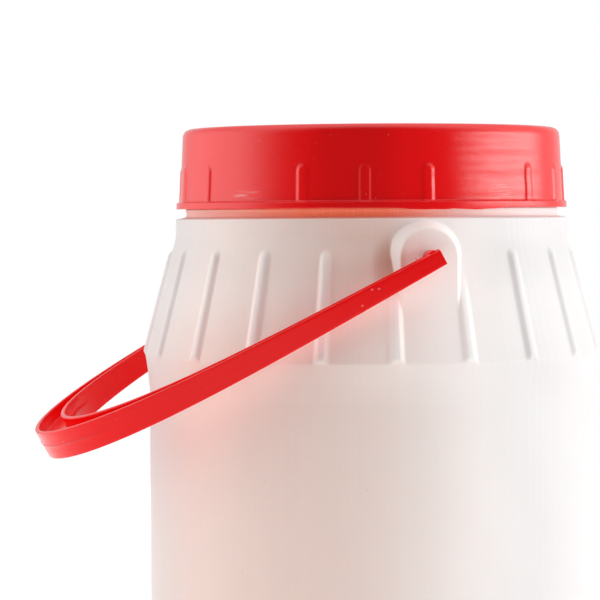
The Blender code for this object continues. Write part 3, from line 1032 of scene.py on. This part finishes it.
    def drill(self, piece: bpy.types.Object) -> None:
        """Cut the blind holes in the pads that take the handle's pins.

        Args:
            piece: The pressed body.
        """
        for side in (-1.0, 1.0):
            Bench.clear()
            depth = self.pad_face + 0.003 - self.socket_bottom
            middle = side * (self.socket_bottom + depth / 2.0)
            bpy.ops.mesh.primitive_cylinder_add(
                vertices=40, radius=self.socket_radius, depth=depth,
                location=(0.0, middle, self.pivot_z), rotation=(math.radians(90.0), 0.0, 0.0))
            Bench.combine(piece, Bench.keep("socket_drill"), "DIFFERENCE")

    def build(self) -> bpy.types.Object:
        """Model the whole body.

        Returns:
            The body, at its place.
        """
        piece = Bench.lathe("bucket_shell", self.profile(), self.bars * self.columns_per_bar)
        pitch = FULL_TURN / self.bars
        Bench.set_points(piece, Bench.crowd_columns(
            Bench.points_of(piece), pitch, pitch / 2.0, self.crowded_columns, self.crowded_width))

        def near_pad(centre: Vector, _: Vector) -> bool:
            """Whether a face lies under or round a handle pad."""
            out = math.hypot(centre.x, centre.y)
            return (abs(centre.x) < 0.0245 and out > self.neck_radius + 0.003
                    and self.pivot_z - 0.032 < centre.z < self.shelf_z - 0.0004)

        Bench.select_faces(piece, near_pad)
        bpy.ops.mesh.subdivide(number_cuts=1)
        Bench.clear()
        self.press(piece)
        self.drill(piece)
        self.mark_raised(piece)
        Bench.dress(piece, self.finish.make(self.ledge_z, self.shelf_z, self.neck_radius))
        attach(piece, Body.BUCKET.value)
        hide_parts(Node.BUCKET.value)
        return piece


@dataclass
class ScrewLid:
    """The screw lid: rim, grip bars, tapered skirt, rounded edge and sunk top."""

    bottom: float = 0.2462
    top: float = 0.2870
    rim_radius: float = 0.1001
    rim_height: float = 0.0031
    skirt_bottom_radius: float = 0.0982
    skirt_top_radius: float = 0.0965
    edge_radius: float = 0.0048
    wall: float = 0.0022
    top_thickness: float = 0.0040
    land_radius: float = 0.0845
    panel_depth: float = 0.0014
    places: int = 20
    group: int = 4
    bar_width: float = 0.0072
    bar_height: float = 0.00085
    bar_flank_share: float = 0.62
    bar_length: float = 0.0198
    bar_turn: float = math.radians(-16.6)
    bar_foot_sink: float = 0.0009
    columns_per_place: int = 26
    crowded_columns: float = 0.72
    crowded_width: float = 0.30
    sink_pitch: float = 0.0098
    sink_depth: float = 0.00011
    sink_turn: float = math.radians(22.0)
    flash_start: float = math.radians(-9.0)
    flash_end: float = math.radians(25.0)
    flash_drop: float = 0.0011
    rim_waves: float = 0.00012
    # The lid's finish paints a darker red middle and two highlights on its skirt.
    finish: RedPlastic = field(default_factory=lambda: RedPlastic(
        "red_lid_plastic", (0.93, 0.0045, 0.0060), roughness=0.17, flow=0.00022, scuffs=0.35, deep=0.37,
        painted_highlights=LID_PAINTED_HIGHLIGHTS))

    def profile(self) -> list[Point]:
        """Outline from the middle of the top, down the outside and back up the inside."""
        rim_top = self.bottom + self.rim_height
        ceiling = self.top - self.top_thickness
        panel = self.top - self.panel_depth
        inner = self.skirt_top_radius - self.wall
        corners = [
            Corner(0.0, panel - 0.0004),
            Corner(0.0040, panel - 0.0004, 0.0005),
            Corner(0.0046, panel, 0.0005),
            Corner(self.land_radius - 0.0015, panel, 0.0010, 0.010),
            Corner(self.land_radius, self.top, 0.0008),
            Corner(self.skirt_top_radius, self.top, self.edge_radius),
            Corner(self.skirt_bottom_radius, rim_top + 0.0006, 0.0006, 0.0009),
            Corner(self.rim_radius, rim_top - 0.0001, 0.0004),
            Corner(self.rim_radius, self.bottom, 0.0004, 0.0008),
            Corner(self.skirt_bottom_radius - self.wall + 0.0006, self.bottom, 0.0003, 0.0012),
            Corner(inner, ceiling - 0.003, 0.0010, 0.004),
            Corner(inner - 0.0006, ceiling, 0.0008),
            Corner(0.0, ceiling),
        ]
        return Outline(corners).points()

    def bar_relief(self, azimuth: np.ndarray, height: np.ndarray) -> np.ndarray:
        """How far the nearest grip bar stands out of the skirt.

        Args:
            azimuth: Azimuths of the points.
            height: Heights of the points.

        Returns:
            The relief at each point.
        """
        pitch = FULL_TURN / self.places
        turns = (azimuth - self.bar_turn) / pitch + 1.0
        index = np.round(turns)
        off = np.abs(turns - index) * pitch * self.skirt_bottom_radius
        up = height - (self.bottom + self.rim_height - self.bar_foot_sink)
        nose = self.bar_width / 2.0
        nose_at = self.bar_length - nose
        inside = np.where(up < nose_at, nose - off, nose - np.hypot(off, up - nose_at))
        crown = 0.5 - 0.5 * np.cos(math.pi * np.clip(inside / (nose * self.bar_flank_share), 0.0, 1.0))
        held = np.mod(index, self.group) != self.group - 1
        return np.where(held & (up > 0.0), self.bar_height * crown, 0.0)

    def press(self, piece: bpy.types.Object) -> None:
        """Push out the grip bars and add the sink marks and the rim's flash.

        Args:
            piece: The turned lid.
        """
        places = Bench.points_of(piece)
        azimuth, radius = Bench.polar(places)
        height = places[:, 2]
        rim_top = self.bottom + self.rim_height
        skirt = (radius > self.skirt_top_radius - 0.0006) & (height > rim_top)
        below_edge = soft_ramp((self.top - self.edge_radius - height) / 0.003, 0.3)
        helix = height / self.sink_pitch - azimuth / FULL_TURN
        sink = np.cos(FULL_TURN * helix) * self.sink_depth * below_edge
        sink *= 0.12 + 0.88 * soft_ramp((np.cos(azimuth - self.sink_turn) - 0.80) / 0.15, 0.3)
        sink += waves(azimuth, (3, 5, 8), 1.7) * self.sink_depth * 0.8 * below_edge
        out = np.where(skirt, self.bar_relief(azimuth, height) + sink, 0.0)

        middle = (self.flash_start + self.flash_end) / 2.0
        spread = (self.flash_end - self.flash_start) / 2.0
        near = soft_ramp((spread - np.abs(azimuth - middle)) / math.radians(5.0), 0.3)
        ragged = 0.75 + 0.25 * waves(azimuth, (23, 41, 67), 0.6)
        rim_edge = (radius > self.skirt_bottom_radius + 0.0005) & (height < self.bottom + 0.0009)
        drop = self.flash_drop * near * ragged + self.rim_waves * waves(azimuth, (9, 17, 31), 2.1)
        places[:, 2] -= np.where(rim_edge, drop, 0.0)
        Bench.spread(piece, places, radius + out)

    def build(self) -> bpy.types.Object:
        """Model the lid.

        Returns:
            The lid, at its place.
        """
        piece = Bench.lathe("screw_cap", self.profile(), self.places * self.columns_per_place)
        pitch = FULL_TURN / self.places
        Bench.set_points(piece, Bench.crowd_columns(
            Bench.points_of(piece), pitch, self.bar_turn, self.crowded_columns, self.crowded_width))
        self.press(piece)
        Bench.dress(piece, self.finish.make())
        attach(piece, Body.BUCKET.value)
        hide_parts(Node.LID.value)
        return piece


@dataclass
class SwingHandle:
    """The swing handle: an H-section strap bent round its outline, with end blocks, hubs and pins."""

    pivot_z: float = 0.2223
    tilt: float = math.radians(-28.8)
    reach: float = 0.1938
    half_width: float = 0.1240
    taper: float = 0.165
    roundness: float = 4.2
    arm_height: float = 0.0075
    bend_height: float = 0.0148
    arm_thickness: float = 0.0068
    bend_thickness: float = 0.0172
    thickness_growth: float = 3.4
    wall: float = 0.0023
    web: float = 0.0022
    rim_round: float = 0.0007
    arm_wall_share: float = 0.62
    sag: float = 0.0007
    overrun: float = 0.0023
    block_length: float = 0.0112
    block_proud: float = -0.00008
    block_round: float = 0.00045
    hub_round: float = 0.00025
    hub_radius: float = 0.0037
    pin_radius: float = 0.0034
    pin_tip: float = 0.1022
    hub_end: float = 0.1090
    station_step: float = 0.0022
    probe: float = 0.0006
    path_points: int = 1600
    ridge: float = 0.00022
    ridge_start: float = 0.85
    ridge_fade: float = 0.08
    nub_radius: float = 0.0007
    nub_place: Point = (0.1924, 0.0147)
    wisp_x: float = -0.0088
    wisp_inset: float = 0.0022
    wisp_length: float = 0.0032
    wisp_foot: float = 0.0004
    finish: RedPlastic = field(default_factory=lambda: RedPlastic(
        "red_handle_plastic", (0.95, 0.0040, 0.0050), roughness=0.19, flow=0.00003, scuffs=0.30, gloss=0.22,
        flecks=HANDLE_FLECKS))

    def path(self) -> tuple[np.ndarray, np.ndarray]:
        """The outer face's line in the handle's own plane.

        Returns:
            The points of the line, and the distance of each from the line's start.
        """
        angle = math.pi * (np.arange(self.path_points) + 0.5) / self.path_points
        out = self.reach * np.sin(angle) ** (2.0 / self.roundness)
        width = (self.half_width - self.taper * out) * np.cos(angle)
        line = np.column_stack((-out, -width))
        end_width = self.half_width + self.taper * self.overrun
        start = np.array([[self.overrun, -end_width], [0.0, -self.half_width]])
        end = start[::-1] * (1.0, -1.0)
        line = np.vstack((start, line, end))
        lengths = np.hypot(*np.diff(line, axis=0).T)
        return line, np.concatenate(([0.0], np.cumsum(lengths)))

    def section(self) -> list[Point]:
        """The H outline at the bend, as distances inwards and upwards."""
        top = self.bend_height / 2.0
        web = self.web / 2.0
        near, far, deep = self.wall, self.bend_thickness - self.wall, self.bend_thickness
        small = self.rim_round * 0.8
        upper = [
            Corner(-self.ridge, 0.0, step=0.002),
            Corner(0.0, self.ridge * 1.6, step=0.002),
            Corner(0.0, top, self.rim_round, step=0.002),
            Corner(near, top, self.rim_round, step=0.002),
            Corner(near, web, small, step=0.002),
            Corner(far, web, small, step=0.004),
            Corner(far, top, self.rim_round, step=0.002),
            Corner(deep, top, self.rim_round, step=0.002),
            Corner(deep, self.ridge * 1.6, step=0.002),
            Corner(deep + self.ridge, 0.0, step=0.002),
        ]
        lower = [Corner(c.across, -c.up, c.rounding, c.step) for c in reversed(upper[1:-1])]
        return Outline(upper + lower, closed=True).points()

    def bend(self, piece: bpy.types.Object) -> None:
        """Bend a straight strap, whose length runs along X, round the handle's line.

        Args:
            piece: The straight strap.
        """
        line, along = self.path()

        def on_line(distance: np.ndarray) -> np.ndarray:
            """Points of the line at distances from its start."""
            return np.column_stack([np.interp(distance, along, line[:, axis]) for axis in (0, 1)])

        places = Bench.points_of(piece)
        distance = np.clip(places[:, 0], along[0], along[-1])
        foot = on_line(distance)
        run = on_line(distance + self.probe) - on_line(distance - self.probe)
        run /= np.linalg.norm(run, axis=1)[:, None]
        inward = np.column_stack((run[:, 1], -run[:, 0]))
        inward *= np.sign(np.sum(inward * (np.array([-self.reach / 2.0, 0.0]) - foot), axis=1))[:, None]

        share = np.clip(-foot[:, 0] / self.reach, 0.0, 1.0)
        height = self.arm_height + (self.bend_height - self.arm_height) * share ** 0.9
        thicker = (self.bend_thickness - self.arm_thickness) * share ** self.thickness_growth
        thickness = self.arm_thickness + thicker
        depth = self._fit_depth(places[:, 1], thickness, share)
        rise = self._fit_rise(places[:, 2], height) - self.sag * (1.0 - share)
        flat = foot + inward * depth[:, None]
        middle = self.bend_thickness / 2.0
        on_ridge = np.abs(places[:, 1] - middle) > middle + self.ridge / 2.0
        Bench.mark(piece, RAISED, np.where(on_ridge, self._near_bend(share), 0.0))
        self.hang(piece, np.column_stack((flat, rise)))

    def _near_bend(self, share: np.ndarray) -> np.ndarray:
        """Where the parting ridge shows: 1 round the bend, fading to 0 along the arms."""
        return np.clip((share - self.ridge_start) / self.ridge_fade, 0.0, 1.0)

    def _fit_depth(self, depth: np.ndarray, thickness: np.ndarray, share: np.ndarray) -> np.ndarray:
        """Move the inner wall to a narrower strap's thickness, and fade the parting ridge.

        Args:
            depth: Distances inwards in the section of the bend.
            thickness: The strap's thickness at each point.
            share: How near the bend each point is, from 0 to 1.

        Returns:
            The distances inwards at each point's own section.
        """
        full = self.bend_thickness
        fade = self._near_bend(share)
        depth = np.where(depth < 0.0, depth * fade, depth)
        depth = np.where(depth > full, full + (depth - full) * fade, depth)
        thinner = self.arm_wall_share + (1.0 - self.arm_wall_share) * share
        wall = self.wall * thinner
        between = wall + (depth - self.wall) * (thickness - 2.0 * wall) / (full - 2.0 * self.wall)
        inner = thickness - (full - depth) * thinner
        return np.where(depth <= self.wall, depth * thinner,
                        np.where(depth >= full - self.wall, inner, between))

    def _fit_rise(self, rise: np.ndarray, height: np.ndarray) -> np.ndarray:
        """Move the rims to a lower strap's height.

        Args:
            rise: Distances upwards in the section of the bend.
            height: The strap's height at each point.

        Returns:
            The distances upwards at each point's own section.
        """
        size = np.abs(rise)
        low = self.web / 2.0 + self.rim_round
        high = self.bend_height / 2.0 - self.rim_round
        new_high = height / 2.0 - self.rim_round
        between = low + (size - low) * (new_high - low) / (high - low)
        moved = np.where(size <= low, size, np.where(size >= high, size - high + new_high, between))
        return np.sign(rise) * moved

    def strap(self) -> bpy.types.Object:
        """Draw the section, extrude it straight and bend it.

        Returns:
            The bent strap.
        """
        _, along = self.path()
        length = float(along[-1])
        count = round(length / self.station_step)
        piece = Bench.draw("swing_handle", [(0.0, inward, up) for inward, up in self.section()])
        bpy.ops.mesh.select_all(action="SELECT")
        bpy.ops.mesh.edge_face_add()
        for _ in range(count):
            bpy.ops.mesh.extrude_region_move(TRANSFORM_OT_translate={"value": (length / count, 0.0, 0.0)})
        Bench.close_up()
        self.bend(piece)
        Bench.take(piece)
        bpy.ops.object.mode_set(mode="EDIT")
        Bench.close_up()
        return piece

    def end(self, side: float) -> bpy.types.Object:
        """Model one end block with its hub and pin.

        Args:
            side: -1 for the front end, 1 for the back end.

        Returns:
            The end, tilted and in place.
        """
        Bench.clear()
        middle_x = self.overrun + self.block_proud - self.block_length / 2.0
        middle_y = side * (self.half_width - self.arm_thickness / 2.0)
        grown = 2 * self.block_proud
        size = (self.block_length, self.arm_thickness + grown, self.arm_height + grown)
        bpy.ops.mesh.primitive_cube_add(size=1.0, location=(middle_x, middle_y, 0.0), scale=size)
        block = Bench.keep("end_block")
        Bench.bevel(block, self.block_round, 3)
        slanted = Bench.points_of(block)
        slanted[:, 1] += side * self.taper * slanted[:, 0]
        slanted[:, 2] -= self.sag
        Bench.set_points(block, slanted)

        Bench.clear()
        root = self.half_width - self.arm_thickness + 0.002
        bpy.ops.mesh.primitive_cylinder_add(
            vertices=56, radius=self.hub_radius, depth=root - self.hub_end,
            location=(0.0, side * (root + self.hub_end) / 2.0, 0.0), rotation=(math.radians(90.0), 0.0, 0.0))
        hub = Bench.keep("end_hub")
        Bench.select_faces(hub, lambda centre, normal: normal.y * side < -0.9)
        bpy.ops.mesh.inset(thickness=self.hub_radius - self.pin_radius)
        bpy.ops.mesh.extrude_region_move(
            TRANSFORM_OT_translate={"value": (0.0, side * (self.pin_tip - self.hub_end), 0.0)})
        Bench.clear()
        Bench.bevel(hub, self.hub_round, 2)
        Bench.combine(block, hub, "UNION")

        self.hang(block, Bench.points_of(block))
        return block

    def nub(self) -> bpy.types.Object:
        """Model the little stub that the mould's gate left on the bend's parting line.

        Returns:
            The stub, tilted and in place.
        """
        Bench.clear()
        out, aside = self.nub_place
        bpy.ops.mesh.primitive_cylinder_add(
            vertices=20, radius=self.nub_radius, depth=2.0 * self.nub_radius,
            location=(-out, aside, 0.0), rotation=(0.0, math.radians(90.0), 0.0))
        stub = Bench.keep("gate_stub")
        Bench.bevel(stub, self.nub_radius * 0.4, 2)
        Bench.mark(stub, RAISED, np.ones(len(stub.data.vertices)))
        self.hang(stub, Bench.points_of(stub))
        return stub

    def wisp(self) -> bpy.types.Object:
        """Model the thin curl of flash that stands on the front arm beside its pivot.

        Returns:
            The curl, tilted and in place.
        """
        Bench.clear()
        length, foot = self.wisp_length, self.wisp_foot
        root = self.arm_height / 2.0 - self.sag
        bpy.ops.mesh.primitive_cone_add(
            vertices=12, radius1=foot, radius2=foot * 0.2, depth=length,
            location=(self.wisp_x, -self.half_width + self.wisp_inset, root + length * 0.3))
        curl = Bench.keep("flash_curl")
        Bench.bevel(curl, foot * 0.3, 2)
        Bench.mark(curl, RAISED, np.zeros(len(curl.data.vertices)))
        places = Bench.points_of(curl)
        rise = np.clip((places[:, 2] - self.arm_height / 2.0) / length, 0.0, 1.0)
        places[:, 0] -= rise ** 2 * length * 0.7
        self.hang(curl, places)
        return curl

    def hang(self, piece: bpy.types.Object, places: np.ndarray) -> None:
        """Tilt points of the handle's own plane to its rest pose and give them to a piece.

        Args:
            piece: The piece that takes the points.
            places: The points, with the pivots on the line through the origin along Y.
        """
        cosine, sine = math.cos(self.tilt), math.sin(self.tilt)
        Bench.set_points(piece, np.column_stack((
            places[:, 0] * cosine + places[:, 2] * sine,
            places[:, 1],
            -places[:, 0] * sine + places[:, 2] * cosine + self.pivot_z)))

    def build(self) -> bpy.types.Object:
        """Model the handle.

        Returns:
            The handle, at its place.
        """
        piece = self.strap()
        for side in (-1.0, 1.0):
            Bench.combine(piece, self.end(side), "UNION")
        Bench.combine(piece, self.nub(), "UNION")
        Bench.combine(piece, self.wisp(), "UNION")
        Bench.dress(piece, self.finish.make())
        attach(piece, Body.HANDLE.value)
        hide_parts(Node.HANDLE.value)
        return piece


@dataclass(frozen=True)
class Lamp:
    """A soft bright patch of the tent, as angles in degrees and a strength."""

    turn: float
    rise: float
    reach: float
    half_height: float
    strength: float


@dataclass
class Studio:
    """A pale floor, a bright tent of light with a dim front, three lamps and the camera."""

    view_turn: float = math.radians(-14.8)
    distance: float = 1.446
    eye_height: float = 0.2445
    scale_at_axis: float = 0.0005145
    frame_side: int = 600
    axis_column: float = 371.5
    eye_row: float = 211.5
    roll: float = math.radians(0.36)
    sensor: float = 36.0
    floor_side: float = 2.2
    floor_colour: Colour = (0.88, 0.88, 0.88)
    floor_light: float = 0.25
    tent: float = 1.64
    front: float = 0.078
    front_far: float = 0.04
    front_near: float = 0.77
    back: float = 0.42
    lamps: tuple[Lamp, ...] = (
        Lamp(turn=88.0, rise=6.0, reach=41.0, half_height=15.0, strength=4.2),
        Lamp(turn=79.0, rise=13.0, reach=13.0, half_height=6.0, strength=12.0),
        Lamp(turn=-104.0, rise=10.0, reach=46.0, half_height=40.0, strength=0.66))

    def toward_camera(self) -> Vector:
        """The level direction from the bucket's axis to the camera."""
        return Vector((math.sin(self.view_turn), -math.cos(self.view_turn), 0.0))

    def set_camera(self) -> None:
        """Place the camera where the photograph was taken from."""
        data = bpy.data.cameras.new("camera")
        camera = bpy.data.objects.new("camera", data)
        bpy.context.scene.collection.objects.link(camera)
        data.sensor_width = self.sensor
        data.lens = self.distance / self.scale_at_axis / self.frame_side * self.sensor
        half = self.frame_side / 2.0
        data.shift_x = (half - self.axis_column) / self.frame_side
        data.shift_y = (self.eye_row - half) / self.frame_side
        turn = Matrix.Rotation(self.view_turn, 4, "Z") @ Matrix.Rotation(math.radians(90.0), 4, "X")
        turn = turn @ Matrix.Rotation(-self.roll, 4, "Z")
        place = self.toward_camera() * self.distance + Vector((0.0, 0.0, self.eye_height))
        camera.matrix_world = Matrix.Translation(place) @ turn
        bpy.context.scene.camera = camera

    def lay_floor(self) -> None:
        """Lay a wide pale floor."""
        Bench.clear()
        bpy.ops.mesh.primitive_plane_add(size=self.floor_side)
        floor = bpy.context.object
        floor.name = "studio_floor"
        draft = Draft("pale_floor")
        floor.data.materials.append(draft.finish(
            base_color=(*self.floor_colour, 1.0), roughness=0.9, specular_ior_level=0.0,
            emission_color=(1.0, 1.0, 1.0, 1.0), emission_strength=self.floor_light))

    def hang_tent(self) -> None:
        """Light the world like a white tent: dim in front, bright at the sides, brightest at the right."""
        draft = Draft("tent")
        world = bpy.data.worlds.new("tent")
        bpy.context.scene.world = world
        world.use_nodes = True
        draft.tree = world.node_tree
        sky = draft.tree.nodes["Background"]
        direction = draft.node("ShaderNodeTexCoord", {}, {}).outputs["Generated"]
        up = Signal(draft, draft.node("ShaderNodeSeparateXYZ", {}, {0: direction}).outputs["Z"])

        def toward(aim: Vector) -> Signal:
            """Cosine of the angle between the sky's direction and an aim."""
            node = draft.node("ShaderNodeVectorMath", {"operation": "DOT_PRODUCT"}, {0: direction, 1: aim})
            return Signal(draft, node.outputs["Value"])

        facing = toward(self.toward_camera())
        level = self.tent + facing.step(self.front_far, self.front_near) * (self.front - self.tent)
        level = level * (1.0 - facing.step(0.0, -0.8) * (1.0 - self.back))
        for lamp in self.lamps:
            aim = Matrix.Rotation(math.radians(lamp.turn), 3, "Z") @ self.toward_camera()
            beside = toward(aim).step(math.cos(math.radians(lamp.reach)), 1.0)
            off = abs(up - math.sin(math.radians(lamp.rise)))
            band = off.step(math.sin(math.radians(lamp.half_height)), 0.0)
            level = level + beside * band * lamp.strength
        seen = Signal(draft, draft.node("ShaderNodeLightPath", {}, {}).outputs["Is Camera Ray"])
        draft.feed(sky.inputs["Strength"], seen + (1.0 - seen) * level)
        draft.feed(sky.inputs["Color"], (1.0, 1.0, 1.0, 1.0))
        bpy.data.materials.remove(draft.material)

    def build(self) -> None:
        """Set up the whole studio."""
        self.set_camera()
        self.lay_floor()
        self.hang_tent()
        bpy.context.scene.view_settings.view_transform = "Standard"


def main() -> None:
    """Build the studio and every piece of the bucket, and report each piece."""
    logging.basicConfig(level=logging.INFO, format="%(name)s: %(message)s")
    Studio().build()
    for maker in (BucketBody(), ScrewLid(), SwingHandle()):
        piece = maker.build()
        log.info("%s made %s with %d faces", type(maker).__name__, piece.name, len(piece.data.polygons))


if __name__ == "__main__":
    main()
